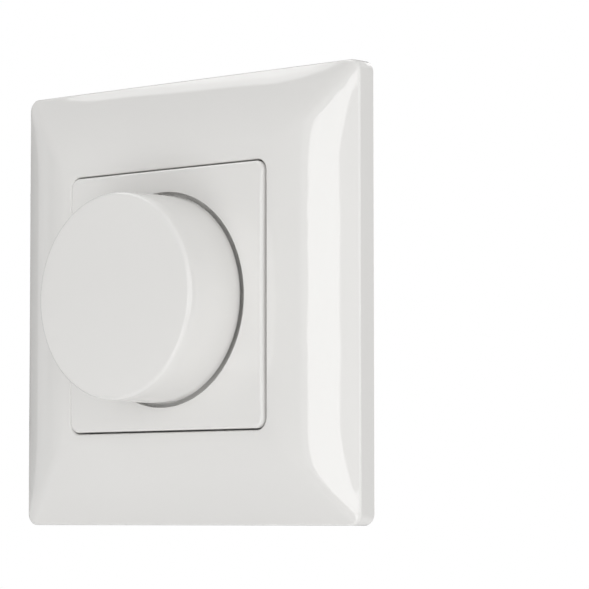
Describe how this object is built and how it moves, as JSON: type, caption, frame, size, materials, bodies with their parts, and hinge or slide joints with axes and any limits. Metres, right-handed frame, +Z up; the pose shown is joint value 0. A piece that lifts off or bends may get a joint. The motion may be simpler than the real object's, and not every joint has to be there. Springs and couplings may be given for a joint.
{
  "type": "rotary dimmer switch",
  "caption": "Square glossy white wall dimmer: convex bevelled frame, square centre plate and a large plain round knob that turns endlessly and presses in to switch.",
  "frame": {"origin": "centre of the screw pattern in the plane of the wall, behind the middle of the knob", "axes": "+Z up, +X to the right as seen from the room, -Y out of the wall towards the room"},
  "size_m": [0.086, 0.0251, 0.086],
  "materials": {
    "frame_plastic": "high gloss moulded white",
    "plate_plastic": "high gloss moulded white",
    "knob_plastic": "high gloss moulded white",
    "wall_plate_plastic": "matt light grey",
    "housing_plastic": "matt light grey",
    "door_plastic": "matt light grey",
    "black_plastic": "matt black",
    "board_laminate": "green solder mask",
    "chip_black": "matt black epoxy",
    "ceramic_white": "white ceramic",
    "capacitor_tan": "tan ceramic",
    "capacitor_yellow": "moulded amber",
    "spring_steel": "bright",
    "nickel_steel": "nickel plated",
    "zinc_steel": "zinc plated",
    "diecast_zinc": "die cast",
    "shaft_aluminium": "turned",
    "contact_brass": "gold flashed",
    "cell_steel": "polished"
  },
  "bodies": {
    "fixed": {"frame": "frame_plastic", "centre_plate": "plate_plastic", "contact_tracks": "contact_brass", "encoder_base": "black_plastic", "switch_dome": "spring_steel", "detent_spring": "spring_steel", "encoder_can": "nickel_steel", "encoder_bushing": "diecast_zinc", "lock_washer": "zinc_steel", "bushing_nut": "zinc_steel", "encoder_legs": "contact_brass", "wall_plate": "wall_plate_plastic", "rear_housing": "housing_plastic", "cell_door": "door_plastic", "coin_cell": "cell_steel", "cell_holder": "black_plastic", "cell_positive_clip": "spring_steel", "cell_negative_spring": "spring_steel", "circuit_board": "board_laminate", "board_screws": "zinc_steel", "radio_chip": "chip_black", "timing_crystal": "nickel_steel", "chip_antenna": "ceramic_white", "storage_capacitor": "capacitor_yellow", "board_capacitors": "capacitor_tan", "board_resistors": "chip_black"},
    "rotor": {"encoder_rotor": "black_plastic", "wiper_contacts": "contact_brass"},
    "dial": {"knob": "knob_plastic", "hub_clip": "spring_steel", "encoder_shaft": "shaft_aluminium"}
  },
  "joints": [
    {"name": "dial_turn", "type": "hinge", "parent": "fixed", "child": "rotor", "pos_m": [0, 0, 0], "axis": [0, 1, 0], "continuous": true},
    {"name": "dial_press", "type": "slide", "parent": "rotor", "child": "dial", "axis": [0, 1, 0], "range_m": [0, 0.0005], "stiffness_N_per_m": 6000, "springref_m": -0.0001}
  ]
}
